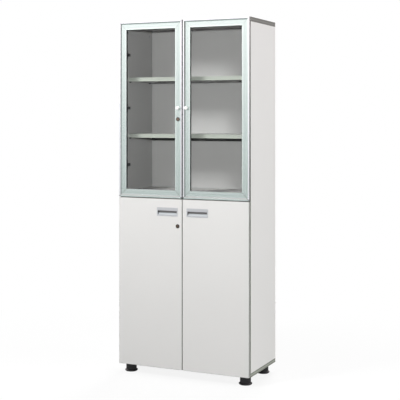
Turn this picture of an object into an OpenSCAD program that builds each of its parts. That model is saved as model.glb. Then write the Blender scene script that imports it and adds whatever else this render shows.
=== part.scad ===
// Tall laboratory display cabinet: two board doors below, two glazed aluminium doors above.
// Origin: on the floor, at the middle of the width and depth. X right, Y to the back, Z up.

/* [Cabinet] */
// Width over the side boards
cabinet_w = 800; // [680:10:1000]
// Depth of the carcass without the doors
carcass_d = 380; // [340:10:520]
// Height of the body above its feet
body_h = 1945; // [1880:5:2150]
// Height of the joint between lower and upper doors above the underside of the body
split_h = 949; // [900:1:980]

/* [Boards] */
// Thickness of the side boards
side_t = 18; // [16:1:20]
// Thickness of the top board
top_t = 25; // [22:1:30]
// Thickness of the bottom board
bottom_t = 22; // [20:1:30]
// Thickness of the fixed board between the compartments
middle_t = 25; // [22:1:30]
// How far the top of the middle board lies above the joint between the doors
middle_rise = 35; // [32:1:45]
// Height of the rail under the middle board
rail_h = 40; // [36:1:60]
// Thickness of the rail
rail_t = 18; // [16:1:22]
// Thickness of the back board
back_t = 18; // [12:1:20]
// How far the back board lies inside the rear edges
back_recess = 6; // [2:1:12]

/* [Shelves] */
// Thickness of a shelf
shelf_t = 22; // [18:1:28]
// Height from one shelf top to the next in the upper compartment
shelf_pitch = 323; // [280:1:340]
// Height of the lower shelf's top above the underside of the body
lower_shelf_h = 420; // [380:5:425]
// How far the shelf fronts lie behind the carcass front
shelf_recess = 64; // [60:1:90]
// Clearance at each end and behind a shelf
shelf_gap = 0.5; // [0.3:0.1:1]
// Diameter of a shelf pin
pin_d = 5; // [4:0.5:6]
// Depth of a shelf pin in the side board
pin_depth = 9; // [7:1:11]
// Distance of a shelf pin from the shelf's front and rear edges
pin_inset = 12; // [10:1:60]
// Extra inset of the rear pins
rear_pin_extra = 26; // [0:1:60]

/* [Edge trim] */
// Thickness of the grooved trim on the boards and shelves
trim_t = 2; // [1.5:0.5:3]
// Depth of the two grooves in the trim
groove_d = 0.6; // [0.3:0.1:1]
// Thickness of the plain edge band on the side boards and lower doors
band_t = 1; // [0.5:0.5:2]

/* [Doors] */
// Thickness of all doors
door_t = 18; // [18:1:22]
// Gap between the doors and the carcass front
door_gap = 2; // [2:0.1:2.4]
// Gap between the left and right doors
centre_gap = 4; // [3:0.5:6]
// Gap between the lower and upper doors
split_gap = 4; // [2:0.5:5]
// How far the upper doors' edges lie inside the outer faces of the side boards
side_reveal = 0.5; // [0.5:0.1:1]
// How far the lower doors' edges lie inside the outer faces of the side boards
lower_reveal = 2.3; // [0.5:0.1:2.5]
// How far the upper doors end below the top of the body
top_reveal = 2; // [1:0.5:4]
// How far the lower doors end above the underside of the body
bottom_reveal = 1; // [0:0.5:4]

/* [Aluminium frame] */
// Width of a frame member
frame_w = 45; // [44:1:60]
// Width of the raised lip along the outer edge
lip_w = 6; // [5:1:8]
// Width of the slope between lip and band
slope_w = 9; // [5:1:10]
// How far the lip stands in front of the band
lip_rise = 4; // [2:0.5:4]
// Bevel along the inner edge of the band
inner_bevel = 1.5; // [1:0.5:2]
// Wall between chamber and outside
frame_wall = 3; // [2.5:0.5:3]
// Depth of the glazing slot in the frame member
slot_depth = 5; // [4:0.5:5]
// Thickness of the glass
glass_t = 4; // [3:1:4]
// Wall of the rubber channel round the glass
gasket_wall = 1; // [0.8:0.1:1.2]
// How far the rubber channel shows inside the frame
gasket_show = 1; // [0.5:0.5:2]
// Wall of the frame behind the glazing slot
slot_back = 1.2; // [1:0.1:2]
// Length of each leg of a corner key
key_leg = 55; // [45:1:80]

/* [Hinges] */
// Distance of the highest hinge from the door's top
hinge_from_top = 183; // [120:1:200]
// Distance of the lowest hinge from the door's lower end
hinge_from_low = 179; // [150:1:200]
// How far the middle hinge of an upper door lies above the door's middle
middle_hinge_rise = 8; // [0:1:40]
// Radius of the round cup body
cup_r = 17.5; // [17.5:0.1:17.8]
// Depth of the cup in the door
cup_depth = 12.6; // [12.6:0.1:12.9]
// Distance of the cup centre from the outer face of the cabinet
cup_x = 22.5; // [22.3:0.1:22.8]
// Distance of the arm's pin from the outer face of the cabinet
arm_pin_x = 30; // [29.8:0.1:30.2]
// Distance of the cup's pin from the outer face of the cabinet
cup_pin_x = 9; // [8.9:0.1:9.1]
// Distance of the cup's pin in front of the carcass
cup_pin_y = -7; // [-7.1:0.1:-6.9]
// Knee of the cranked link, from the outer face of the cabinet
knee_x = 14; // [13.8:0.1:14.2]
// Knee of the cranked link, in front of the carcass
knee_y = -11.5; // [-11.7:0.1:-11.3]
// Length of the arm behind the carcass front
arm_len = 58; // [47:1:60]
// Thickness of the plate under the arm
plate_t = 2.5; // [2:0.5:3]
// Radial clearance of the hinge pins
pin_play = 0.05; // [0.02:0.01:0.08]

/* [Knobs, pulls and locks] */
// Diameter of a knob
knob_d = 20; // [16:1:26]
// How far a knob stands in front of the band
knob_out = 16; // [11:1:20]
// Distance of the knobs from the middle of the cabinet
knob_x = 26; // [26:1:34]
// Height of the knobs above the door joint
knob_rise = 505; // [400:1:600]
// Distance of the locks from the middle of the cabinet
lock_x = 28; // [26:1:30]
// Height of the upper lock above the door joint
upper_lock_rise = 442; // [300:1:470]
// Depth of the lower lock below the door joint
lower_lock_drop = 152; // [130:1:300]
// Diameter of the lock's head
lock_head_d = 23; // [20:1:24]
// Diameter of the lock's body
lock_body_d = 19; // [16:1:19]
// Diameter of the lock's turning plug
plug_d = 13; // [10:1:13]
// Reach of the locking cam from the plug's axis
cam_reach = 44; // [42:1:50]
// Distance of a recessed pull from the middle of the cabinet to its centre
pull_x = 92; // [90:1:120]
// Depth of the pull's centre below the door joint
pull_drop = 74.5; // [60:0.5:100]
// Width of the pull's face
pull_w = 130; // [110:1:140]
// Height of the pull's face
pull_h = 48; // [44:1:56]
// Depth of the pull's tub behind the door face
pull_depth = 13; // [11:0.5:14]
// Height of the flap over the pull's opening
flap_h = 17.5; // [16:0.5:18.5]
// Height of the sloping scoop under the slit for the fingers
scoop_h = 11.5; // [10:0.5:12]
// Height of the border under the scoop
sill_h = 7; // [6:0.5:8]
// Travel of the slide bolts
bolt_travel = 12; // [8:1:14]

/* [Feet] */
// Height of the feet
foot_h = 50; // [45:1:80]
// Diameter of the ribbed body
foot_d = 60; // [50:1:70]
// Diameter of the flared base
foot_base_d = 73; // [60:1:80]
// Number of ribs round a foot
foot_ribs = 30; // [16:1:40]
// Distance of the feet from the outer faces of the sides
foot_inset_x = 47.5; // [42:0.5:80]
// Distance of the front feet behind the carcass front
foot_inset_front = 42; // [40:1:80]
// Distance of the rear feet in front of the carcass rear
foot_inset_rear = 72; // [40:1:90]

/* [Hidden] */
$fn = 48;

// Planes across the depth
total_d = knob_out - lip_rise + door_t + door_gap + carcass_d;
y_rear = total_d / 2;
y_front = y_rear - carcass_d;
y_door_back = y_front - door_gap;
y_door = y_door_back - door_t;
y_band = y_door + lip_rise;
y_back_face = y_rear - back_recess - back_t;

// Levels
z_base = foot_h;
z_floor = z_base + bottom_t;
z_top = z_base + body_h;
z_ceiling = z_top - top_t;
z_split = z_base + split_h;
z_middle_top = z_split + middle_rise;
z_middle_low = z_middle_top - middle_t;
z_upper_door_low = z_split + split_gap / 2;
z_upper_door_high = z_top - top_reveal;
z_lower_door_low = z_base + bottom_reveal;
z_lower_door_high = z_split - split_gap / 2;
shelf_tops = [z_middle_top + shelf_pitch, z_middle_top + 2 * shelf_pitch, z_base + lower_shelf_h];

// Widths
x_side = cabinet_w / 2;
x_inner = x_side - side_t;
x_door_out = x_side - side_reveal;
x_lower_out = x_side - lower_reveal;
x_door_in = centre_gap / 2;
door_w = x_door_out - x_door_in;
upper_door_h = z_upper_door_high - z_upper_door_low;
lower_door_h = z_lower_door_high - z_lower_door_low;

// Hinges
hinge_w = 12;
arm_w = 16;
link_w = 8;
arm_pin_r = 1.5;
cup_pin_r = 1.2;
nose_r = 3.2;
link_t = 3;
cup_wall = 0.5;
cup_flange_t = 1;
cup_dowel_r = 4;
cup_dowel_z = 22.5;
cup_dowel_len = 8;
fit_gap = 0.05;
screw_r = 2.5;
screw_z = 17;
screw_len = 11;
plate_y = 38;
plate_start = 22;
plate_half = 9;
cup_flange_half = 28;
cup_flange_x = 12;
slot_reach = 16.1;
slot_half = 5.5;
pocket_out = 6.5;
pocket_in = 13.5;
pocket_half = 7.5;
cup_mouth = 3;
link_play = 0.2;
fork_depth = 6;
cup_eye = 1.2;
arm_eye = 1.3;
knee_swell = 0.3;

// Lines along the band
line_w = 0.8;
line_d = 0.4;

// Shelf pins: the flat spoon and the collar at the side board
spoon_len = 12;
spoon_half = 5;
spoon_t = 2;
collar_t = 1.5;
pin_axis = spoon_t + pin_d / 2 - 1;

// Glazing
slot_high = door_t - slot_back;
slot_low = slot_high - glass_t - 2 * gasket_wall;
glass_edge = frame_w - slot_depth + gasket_wall;

// Fasteners that draw the boards together
cam_r = 7.5;
cam_len = 12;
cam_play = 0.1;
cam_bolt_r = 3.5;
cam_from_edge = 34;
cam_from_front = 50;
cam_from_rear = 60;
cam_y = [cam_from_front, carcass_d - cam_from_rear];
bolt_in_board = 12;

// Edge trim: air left at each end of a strip
strip_gap = 0.15;

// Pulls
pull_border = 4.5;
pull_wall = 1.5;
pull_gap = 0.3;
pull_lip = 1.5;
flap_back = 0.3;
scoop_d = 7.5;
tub_w = pull_w - 2 * pull_border;
tub_h = pull_h - pull_border + 0.5;

// Knobs: spigot in the stile
spigot_r = 3;
spigot_len = 6;

// Locks and bolts
lock_head_t = 3;
head_play = 0.2;
lock_seat = 0.1;
lock_nut_t = 3;
cam_plate_t = 2;
plug_clear = 0.05;
lock_back = door_t + lock_nut_t;
lock_places = [z_split + upper_lock_rise, z_split - lower_lock_drop];
bolt_r = 3;
bolt_play = 2;
bolt_case_w = 20;
bolt_case_d = 17;
bolt_case_h = 50;
bolt_x = 24;
bolt_axis_y = y_door_back + 11;
bolt_clear = 2;
bolt_edge = 6;
nub_r = 2;
nub_len = 6;

// Feet
socket_t = 6;
sleeve_r = 10;
foot_floor = 8;
base_h = 12;
foot_x = x_side - foot_inset_x;
foot_y_front = y_front + foot_inset_front;
foot_y_rear = y_rear - foot_inset_rear;

function hinge_heights(low, high, rise) =
    [low + hinge_from_low, (low + high) / 2 + rise, high - hinge_from_top];
upper_hinges = hinge_heights(z_upper_door_low, z_upper_door_high, middle_hinge_rise);
lower_hinges = hinge_heights(z_lower_door_low, z_lower_door_high, 0);

// Board between two corners
module block(low, high) {
    translate(low) cube(high - low);
}

// Flat bar between two points of the plan view
module flat_bar(a, b, t) {
    v = b - a;
    translate(a) rotate(atan2(v[1], v[0])) translate([0, -t / 2]) square([norm(v), t]);
}

// Round pin or bore along z, centred on z = 0, at a point of the plan view
module plan_pin(p, r, h) {
    translate([p[0], p[1], -h / 2]) cylinder(r = r, h = h);
}

// Round bar along Y from y to y + len
module y_rod(x, y, z, r, len) {
    translate([x, y, z]) rotate([-90, 0, 0]) cylinder(r = r, h = len);
}

// Round bar along X from x to x + len
module x_rod(x, y, z, r, len) {
    translate([x, y, z]) rotate([0, 90, 0]) cylinder(r = r, h = len);
}

// Puts children at the cabinet's left outer front edge, once for each height
module at_left_hinges(heights) {
    for (z = heights) translate([-x_side, y_front, z]) children();
}

// Places of the shelf pins across the depth
function pin_places() = [y_front + shelf_recess + pin_inset, y_back_face - pin_inset - rear_pin_extra];

// CARCASS

module side_board_solid() {
    block([-x_side, y_front + band_t, z_floor], [-x_inner, y_rear, z_ceiling]);
}

// Left side board, drilled for pins, hinge screws and fasteners
module side_board() {
    difference() {
        side_board_solid();
        for (z = shelf_tops, y = pin_places())
            x_rod(-x_inner - pin_depth - fit_gap, y, z - shelf_t - pin_axis, pin_d / 2 + fit_gap,
                pin_depth + 1);
        for (z = concat(upper_hinges, lower_hinges), s = [-1, 1])
            x_rod(-x_inner - screw_len - fit_gap, y_front + plate_y, z + s * screw_z, screw_r + fit_gap,
                screw_len + 1);
        for (y = cam_y) {
            side_cam_bores(y, z_ceiling - cam_from_edge, 1);
            side_cam_bores(y, z_floor + cam_from_edge, -1);
            x_rod(-x_inner - bolt_in_board, y_front + y, (z_middle_low + z_middle_top) / 2,
                cam_bolt_r + cam_play, bolt_in_board + 1);
        }
        x_rod(-x_inner - bolt_in_board, y_front + band_t + rail_t / 2, z_middle_low - rail_h / 2,
            cam_bolt_r + cam_play, bolt_in_board + 1);
    }
}

// Cam bore in the inner face with its bolt bore to the end of the board
module side_cam_bores(y, z, up) {
    x_rod(-x_inner - cam_len - 0.3, y_front + y, z, cam_r + cam_play, cam_len + 1.3);
    translate([-x_inner - side_t / 2, y_front + y, up > 0 ? z : z - cam_from_edge - 1])
        cylinder(r = cam_bolt_r + cam_play, h = cam_from_edge + 1);
}

module left_side_board() {
    color([0.87, 0.87, 0.86]) side_board();
}

module right_side_board() {
    color([0.87, 0.87, 0.86]) mirror([1, 0, 0]) side_board();
}

// Bolt bores in the face of the top or bottom board
module panel_bolt_bores(z, up) {
    for (s = [-1, 1], y = cam_y)
        translate([s * (x_side - side_t / 2), y_front + y, up > 0 ? z - 1 : z - bolt_in_board])
            cylinder(r = cam_bolt_r + cam_play, h = bolt_in_board + 1);
}

module top_board() {
    color([0.87, 0.87, 0.86]) difference() {
        block([-x_side + trim_t, y_front + trim_t, z_ceiling], [x_side - trim_t, y_rear, z_top]);
        panel_bolt_bores(z_ceiling, 1);
        translate([bolt_x, bolt_axis_y, z_ceiling - 1])
            cylinder(r = bolt_r + bolt_play, h = bolt_travel + 2);
    }
}

module bottom_board() {
    color([0.87, 0.87, 0.86]) difference() {
        block([-x_side + trim_t, y_front + trim_t, z_base], [x_side - trim_t, y_rear, z_floor]);
        panel_bolt_bores(z_floor, -1);
        translate([bolt_x, bolt_axis_y, z_floor - bolt_travel - 1])
            cylinder(r = bolt_r + bolt_play, h = bolt_travel + 2);
    }
}

module middle_board() {
    z_mid = (z_middle_low + z_middle_top) / 2;
    color([0.85, 0.85, 0.84]) difference() {
        block([-x_inner, y_front + trim_t, z_middle_low], [x_inner, y_back_face, z_middle_top]);
        for (s = [-1, 1], y = cam_y) {
            translate([s * (x_inner - cam_from_edge), y_front + y, z_middle_low - 1])
                cylinder(r = cam_r + cam_play, h = z_mid - z_middle_low + cam_len / 2 + 1.3);
            x_rod(s > 0 ? x_inner - cam_from_edge : -x_inner - 1, y_front + y, z_mid, cam_bolt_r + cam_play,
                cam_from_edge + 1);
        }
    }
}

module middle_rail() {
    z_mid = z_middle_low - rail_h / 2;
    color([0.85, 0.85, 0.84]) difference() {
        block([-x_inner, y_front + band_t, z_middle_low - rail_h],
            [x_inner, y_front + band_t + rail_t, z_middle_low]);
        for (s = [-1, 1]) {
            y_rod(s * (x_inner - cam_from_edge), y_front + band_t + rail_t / 2 - cam_len / 2 - 0.3, z_mid,
                cam_r + cam_play, rail_t);
            x_rod(s > 0 ? x_inner - cam_from_edge : -x_inner - 1, y_front + band_t + rail_t / 2, z_mid,
                cam_bolt_r + cam_play, cam_from_edge + 1);
        }
    }
}

module back_board() {
    color([0.8, 0.81, 0.8])
        block([-x_inner, y_back_face, z_floor], [x_inner, y_back_face + back_t, z_ceiling]);
}

// Section of the grooved trim: t thick in x, h high in y, grooves on the low-x face
module trim_section(h) {
    g = h / 6;
    polygon([[0, 0], [trim_t, 0], [trim_t, h], [0, h], [0, h - g], [groove_d, h - g], [groove_d, h - 2 * g],
        [0, h - 2 * g], [0, 2 * g], [groove_d, 2 * g], [groove_d, g], [0, g]]);
}

// Grooved trim along Y on a left edge, then the same for a front edge along X
module side_trim(x, y, z, h, len) {
    translate([x, y + len, z]) rotate([90, 0, 0]) linear_extrude(len) trim_section(h);
}

module front_trim(y, z, h, half_len) {
    translate([-half_len, y, z]) rotate([90, 0, 90]) linear_extrude(2 * half_len) trim_section(h);
}

module edge_trim() {
    between = x_inner - strip_gap;
    color([0.5, 0.51, 0.48]) {
        for (level = [[z_base, bottom_t], [z_ceiling, top_t]]) {
            for (s = [0, 1]) mirror([s, 0, 0]) side_trim(-x_side, y_front, level[0], level[1], carcass_d);
            front_trim(y_front, level[0], level[1], x_side - trim_t - strip_gap);
        }
        for (s = [0, 1]) mirror([s, 0, 0])
            block([-x_side, y_front, z_floor + strip_gap],
                [-x_inner, y_front + band_t, z_ceiling - strip_gap]);
        front_trim(y_front, z_middle_low, middle_t, between);
        block([-between, y_front, z_middle_low - rail_h],
            [between, y_front + band_t, z_middle_low - strip_gap]);
    }
    color([0.72, 0.75, 0.74])
        for (z = shelf_tops) front_trim(y_front + shelf_recess, z - shelf_t, shelf_t, x_inner - shelf_gap);
}

module shelf(z) {
    color([0.86, 0.87, 0.86])
        block([-x_inner + shelf_gap, y_front + shelf_recess + trim_t, z - shelf_t],
            [x_inner - shelf_gap, y_back_face - shelf_gap, z]);
}

module upper_shelf_low() {
    shelf(shelf_tops[0]);
}

module upper_shelf_high() {
    shelf(shelf_tops[1]);
}

module lower_shelf() {
    shelf(shelf_tops[2]);
}

// One pin in a left side board with a flat spoon that carries the shelf
module shelf_pin(y, z) {
    x_rod(-x_inner - pin_depth, y, z - pin_axis, pin_d / 2, pin_depth + spoon_len - 4);
    block([-x_inner, y - spoon_half, z - spoon_t], [-x_inner + spoon_len, y + spoon_half, z]);
    block([-x_inner, y - spoon_half, z - spoon_t - pin_d], [-x_inner + collar_t, y + spoon_half, z]);
}

module shelf_pins() {
    color([0.75, 0.76, 0.77])
        for (s = [0, 1], z = shelf_tops, y = pin_places())
            mirror([s, 0, 0]) shelf_pin(y, z - shelf_t);
}

// Cam disc with a cross slot in its face, axis along z, face at z = 0, body below
module cam_disc() {
    difference() {
        translate([0, 0, -cam_len]) cylinder(r = cam_r, h = cam_len);
        translate([-5, -0.8, -2]) cube([10, 1.6, 3]);
        translate([-0.8, -5, -2]) cube([1.6, 10, 3]);
    }
}

module cam_fasteners() {
    bolt_len = cam_from_edge - cam_r - 0.1 + bolt_in_board - 0.5;
    z_mid = (z_middle_low + z_middle_top) / 2;
    z_rail = z_middle_low - rail_h / 2;
    color([0.7, 0.71, 0.72])
        for (m = [0, 1]) mirror([m, 0, 0]) {
            for (y = cam_y) {
                for (end = [[z_ceiling - cam_from_edge, 1], [z_floor + cam_from_edge, -1]]) {
                    translate([-x_inner, y_front + y, end[0]]) rotate([0, 90, 0]) cam_disc();
                    translate([-x_inner - side_t / 2, y_front + y,
                            end[0] + (end[1] > 0 ? cam_r + 0.1 : -cam_r - 0.1 - bolt_len)])
                        cylinder(r = cam_bolt_r, h = bolt_len);
                }
                translate([-x_inner + cam_from_edge, y_front + y, z_middle_low])
                    rotate([180, 0, 0]) cam_disc();
                x_rod(-x_inner - bolt_in_board + 0.5, y_front + y, z_mid, cam_bolt_r, bolt_len);
            }
            translate([-x_inner + cam_from_edge, y_front + band_t + rail_t, z_rail])
                rotate([-90, 0, 0]) cam_disc();
            x_rod(-x_inner - bolt_in_board + 0.5, y_front + band_t + rail_t / 2, z_rail, cam_bolt_r,
                bolt_len);
        }
}

// HINGES, in the plan view from the cabinet's left outer front edge

module hinge_plate() {
    difference() {
        union() {
            block([side_t, plate_start, -plate_half], [side_t + plate_t, arm_len - 4, plate_half]);
            block([side_t, plate_y - plate_half, -screw_z - 7],
                [side_t + plate_t, plate_y + plate_half, screw_z + 7]);
        }
        for (s = [-1, 1]) x_rod(side_t - 1, plate_y, s * screw_z, screw_r + fit_gap, plate_t + 2);
    }
    for (s = [-1, 1]) {
        x_rod(side_t - screw_len, plate_y, s * screw_z, screw_r, screw_len + plate_t);
        x_rod(side_t + plate_t, plate_y, s * screw_z, screw_r + 1.5, 1.2);
    }
}

module hinge_plates() {
    color([0.62, 0.63, 0.65])
        for (m = [0, 1]) mirror([m, 0, 0]) at_left_hinges(concat(upper_hinges, lower_hinges)) hinge_plate();
}

// Arm with a forked nose that holds the link's pin
module hinge_arm() {
    x_low = side_t + plate_t;
    difference() {
        union() {
            block([x_low, 7, -arm_w / 2], [arm_pin_x + 1.5, arm_len, arm_w / 2]);
            block([arm_pin_x - nose_r, 0, -hinge_w / 2], [arm_pin_x + nose_r, 12, hinge_w / 2]);
            plan_pin([arm_pin_x, 0], nose_r, hinge_w);
        }
        block([arm_pin_x - nose_r - 1, -nose_r - 1, -link_w / 2 - link_play],
            [arm_pin_x + nose_r + 1, fork_depth, link_w / 2 + link_play]);
        x_rod(arm_pin_x - 0.5, plate_y, 0, 3, 4);
        x_rod(arm_pin_x - 0.5, plate_start, 0, 3, 4);
    }
    plan_pin([arm_pin_x, 0], arm_pin_r, hinge_w);
}

module hinge_arms() {
    color([0.45, 0.46, 0.48])
        for (m = [0, 1]) mirror([m, 0, 0]) at_left_hinges(concat(upper_hinges, lower_hinges)) hinge_arm();
}

// Cranked link from the cup's pin over the knee to the arm's pin
module hinge_link() {
    cup_pin = [cup_pin_x, cup_pin_y];
    knee = [knee_x, knee_y];
    arm_pin = [arm_pin_x, 0];
    translate([0, 0, -link_w / 2]) linear_extrude(link_w) difference() {
        union() {
            flat_bar(cup_pin, knee, link_t);
            flat_bar(knee, arm_pin, link_t);
            translate(cup_pin) circle(r = cup_pin_r + cup_eye);
            translate(knee) circle(r = link_t / 2 + knee_swell);
            translate(arm_pin) circle(r = arm_pin_r + arm_eye);
        }
        translate(cup_pin) circle(r = cup_pin_r + pin_play);
        translate(arm_pin) circle(r = arm_pin_r + pin_play);
    }
}

module hinge_links(heights) {
    color([0.62, 0.63, 0.65]) at_left_hinges(heights) hinge_link();
}

module left_upper_hinge_links() {
    hinge_links(upper_hinges);
}

module left_lower_hinge_links() {
    hinge_links(lower_hinges);
}

module right_upper_hinge_links() {
    mirror([1, 0, 0]) hinge_links(upper_hinges);
}

module right_lower_hinge_links() {
    mirror([1, 0, 0]) hinge_links(lower_hinges);
}

// Cup pressed into the door, with two dowels and a slotted pocket
module hinge_cup() {
    back = -door_gap;
    difference() {
        union() {
            y_rod(cup_x, back - cup_depth, 0, cup_r, cup_depth);
            block([cup_x - cup_flange_x, back, -cup_flange_half],
                [cup_x + cup_flange_x, back + cup_flange_t, cup_flange_half]);
            for (s = [-1, 1]) y_rod(cup_x, back - cup_dowel_len, s * cup_dowel_z, cup_dowel_r, cup_dowel_len);
        }
        block([cup_x - slot_reach, back - cup_depth + cup_wall, -slot_half],
            [cup_x + slot_reach, back + cup_mouth, slot_half]);
        block([cup_x - pocket_out, back - cup_depth + cup_wall, -pocket_half],
            [cup_x + pocket_in, back + cup_mouth, pocket_half]);
    }
    plan_pin([cup_pin_x, cup_pin_y], cup_pin_r, 12);
}

// Bores in a door for its cups and their dowels
module cup_bores(heights) {
    at_left_hinges(heights) {
        y_rod(cup_x, -door_gap - cup_depth - 0.1, 0, cup_r + fit_gap, cup_depth + 1);
        for (s = [-1, 1])
            y_rod(cup_x, -door_gap - cup_dowel_len - 0.1, s * cup_dowel_z, cup_dowel_r + fit_gap,
                cup_dowel_len + 1);
    }
}

module hinge_cups(heights) {
    color([0.62, 0.63, 0.65]) at_left_hinges(heights) hinge_cup();
}

module left_upper_hinge_cups() {
    hinge_cups(upper_hinges);
}

module left_lower_hinge_cups() {
    hinge_cups(lower_hinges);
}

module right_upper_hinge_cups() {
    mirror([1, 0, 0]) hinge_cups(upper_hinges);
}

module right_lower_hinge_cups() {
    mirror([1, 0, 0]) hinge_cups(lower_hinges);
}

// GLAZED DOORS, modelled at the left and mirrored to the right

// Section of a frame member: x from the outer edge, y from the front face
module frame_section() {
    chamber_front = lip_rise + frame_wall + 1;
    difference() {
        polygon([[0, 0], [lip_w, 0], [lip_w + slope_w, lip_rise], [frame_w - inner_bevel, lip_rise],
            [frame_w, lip_rise + inner_bevel], [frame_w, slot_low], [frame_w - slot_depth, slot_low],
            [frame_w - slot_depth, slot_high], [frame_w, slot_high], [frame_w, door_t], [0, door_t]]);
        translate([frame_wall, chamber_front])
            square([frame_w - slot_depth - 2 * frame_wall, door_t - frame_wall - chamber_front]);
        for (i = [1, 2, 3])
            translate([lip_w + slope_w + i * (frame_w - lip_w - slope_w) / 4 - line_w / 2, lip_rise - 1])
                square([line_w, 1 + line_d]);
    }
}

// Frame member along z from 0 to len, mitred at both ends
module frame_member(len) {
    intersection() {
        linear_extrude(len) frame_section();
        translate([0, door_t + 1, 0]) rotate([90, 0, 0]) linear_extrude(door_t + 2)
            polygon([[0, 0], [frame_w, frame_w], [frame_w, len - frame_w], [0, len]]);
    }
}

module hinge_stile() {
    color([0.8, 0.86, 0.85]) difference() {
        translate([-x_door_out, y_door, z_upper_door_low]) frame_member(upper_door_h);
        cup_bores(upper_hinges);
    }
}

module meeting_stile(lock) {
    color([0.8, 0.86, 0.85]) difference() {
        translate([-x_door_in, y_door, z_upper_door_low]) mirror([1, 0, 0]) frame_member(upper_door_h);
        y_rod(-knob_x, y_band - 1, z_split + knob_rise, spigot_r + fit_gap, 1.2 + spigot_len);
        if (lock) {
            y_rod(-lock_x, y_door - 1, z_split + upper_lock_rise, lock_body_d / 2 + fit_gap, door_t + 2);
            y_rod(-lock_x, y_door - 1, z_split + upper_lock_rise, lock_head_d / 2 + head_play,
                1 + lip_rise + lock_seat);
        }
    }
}

module frame_rail(top) {
    color([0.8, 0.86, 0.85])
        translate([-x_door_out, y_door, top ? z_upper_door_high : z_upper_door_low])
            mirror([0, 0, top ? 1 : 0])
                translate([door_w, 0, 0]) rotate([0, -90, 0]) frame_member(door_w);
}

// L-shaped key inside the chambers at each corner
module corner_keys() {
    gap = 0.3;
    near = frame_wall + gap;
    leg_w = frame_w - slot_depth - 2 * frame_wall - 2 * gap;
    y_low = y_band + frame_wall + 1 + gap;
    y_high = y_door + door_t - frame_wall - gap;
    color([0.55, 0.56, 0.58])
        for (mx = [0, 1], mz = [0, 1])
            translate([mx ? -x_door_in : -x_door_out, 0, mz ? z_upper_door_high : z_upper_door_low])
                mirror([mx, 0, 0]) mirror([0, 0, mz]) {
                    block([near, y_low, near], [near + key_leg, y_high, near + leg_w]);
                    block([near, y_low, near], [near + leg_w, y_high, near + key_leg]);
                }
}

// Box across the door opening, grown outwards by g from the frame's inner edge
module opening_block(g, y_low, y_high) {
    block([-x_door_out + frame_w - g, y_low, z_upper_door_low + frame_w - g],
        [-x_door_in - frame_w + g, y_high, z_upper_door_high - frame_w + g]);
}

module glass_pane() {
    color([0.75, 0.85, 0.83, 0.35])
        opening_block(frame_w - glass_edge, y_door + slot_low + gasket_wall,
            y_door + slot_low + gasket_wall + glass_t);
}

module gasket() {
    color([0.12, 0.12, 0.12]) difference() {
        opening_block(slot_depth, y_door + slot_low, y_door + slot_high);
        opening_block(frame_w - glass_edge, y_door + slot_low + gasket_wall,
            y_door + slot_low + gasket_wall + glass_t);
        opening_block(-gasket_show, y_door + slot_low - 1, y_door + slot_high + 1);
    }
}

// Turned knob with a spigot in the stile: foot, waist, swelling head with a domed face
module knob() {
    r = knob_d / 2;
    foot = [[0, 0], [r * 0.75, 0], [r * 0.62, knob_out * 0.17]];
    swell = [for (a = [0:15:75]) [r * (0.72 + 0.28 * sin(a)), knob_out * (0.33 + 0.18 * (1 - cos(a)))]];
    dome = [for (a = [0:15:90]) [r * (0.8 + 0.2 * cos(a)), knob_out * (0.78 + 0.22 * sin(a))]];
    color([0.96, 0.96, 0.95])
        translate([-knob_x, y_band, z_split + knob_rise]) rotate([90, 0, 0]) {
            translate([0, 0, -spigot_len]) cylinder(r = spigot_r, h = spigot_len + 0.5);
            rotate_extrude() polygon(concat(foot, swell, dome, [[0, knob_out]]));
        }
}

module left_frame_hinge_stile() {
    hinge_stile();
}

module right_frame_hinge_stile() {
    mirror([1, 0, 0]) hinge_stile();
}

module left_frame_meeting_stile() {
    meeting_stile(true);
}

module right_frame_meeting_stile() {
    mirror([1, 0, 0]) meeting_stile(false);
}

module left_frame_top_rail() {
    frame_rail(true);
}

module right_frame_top_rail() {
    mirror([1, 0, 0]) frame_rail(true);
}

module left_frame_bottom_rail() {
    frame_rail(false);
}

module right_frame_bottom_rail() {
    mirror([1, 0, 0]) frame_rail(false);
}

module left_frame_corner_keys() {
    corner_keys();
}

module right_frame_corner_keys() {
    mirror([1, 0, 0]) corner_keys();
}

module left_glass() {
    glass_pane();
}

module right_glass() {
    mirror([1, 0, 0]) glass_pane();
}

module left_gasket() {
    gasket();
}

module right_gasket() {
    mirror([1, 0, 0]) gasket();
}

module left_knob() {
    knob();
}

module right_knob() {
    mirror([1, 0, 0]) knob();
}

// LOWER DOORS

module door_leaf(lock) {
    z_pull = z_split - pull_drop;
    color([0.89, 0.89, 0.88]) difference() {
        block([-x_lower_out + band_t, y_door, z_lower_door_low + band_t],
            [-x_door_in - band_t, y_door_back, z_lower_door_high - band_t]);
        block([-pull_x - tub_w / 2 - pull_gap, y_door - 1, z_pull - tub_h / 2 - pull_gap],
            [-pull_x + tub_w / 2 + pull_gap, y_door + pull_depth + pull_gap, z_pull + tub_h / 2 + pull_gap]);
        cup_bores(lower_hinges);
        if (lock)
            y_rod(-lock_x, y_door - 1, z_split - lower_lock_drop, lock_body_d / 2 + fit_gap, door_t + 2);
    }
}

module door_edging() {
    color([0.6, 0.61, 0.59]) {
        for (x = [-x_lower_out, -x_door_in - band_t])
            block([x, y_door, z_lower_door_low], [x + band_t, y_door_back, z_lower_door_high]);
        for (z = [z_lower_door_low, z_lower_door_high - band_t])
            block([-x_lower_out + band_t + strip_gap, y_door, z],
                [-x_door_in - band_t - strip_gap, y_door_back, z + band_t]);
    }
}

// Rectangle with round corners, centred
module rounded_rect(w, h, r) {
    square([w - 2 * r, h], center = true);
    square([w, h - 2 * r], center = true);
    for (x = [-1, 1], z = [-1, 1]) translate([x * (w / 2 - r), z * (h / 2 - r)]) circle(r = r);
}

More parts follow.
